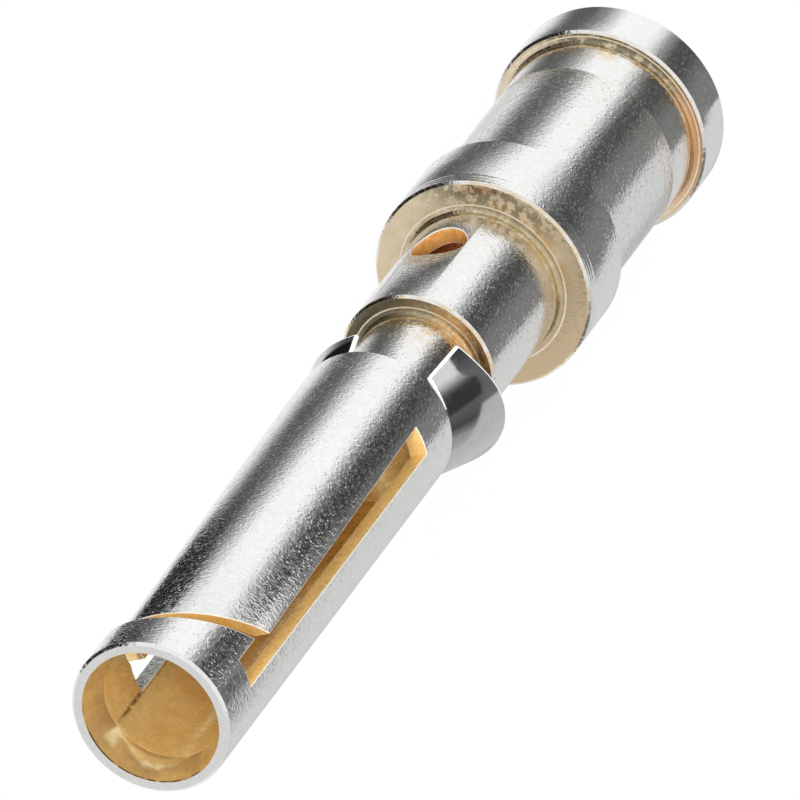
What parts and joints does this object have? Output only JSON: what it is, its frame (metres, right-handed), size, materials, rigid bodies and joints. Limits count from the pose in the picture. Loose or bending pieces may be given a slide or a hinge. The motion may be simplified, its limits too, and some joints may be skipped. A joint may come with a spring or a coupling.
{
  "type": "crimp contact",
  "caption": "Turned socket crimp contact: slotted spring socket, clip groove with a flared retaining clip, collar and crimp barrel for a wire.",
  "frame": {"origin": "centre of the rear flange's end face, on the turning axis", "axes": "+Z along the turning axis from the wire end to the socket's mouth, -Y towards the spring tongue"},
  "size_m": [0.004, 0.004, 0.0224],
  "materials": {
    "silver_plating": "satin silver plating on a turned copper alloy",
    "spring_steel": "bright rolled spring steel"
  },
  "bodies": {
    "root": {"contact_body": "silver_plating", "retaining_clip": "spring_steel"}
  },
  "joints": []
}
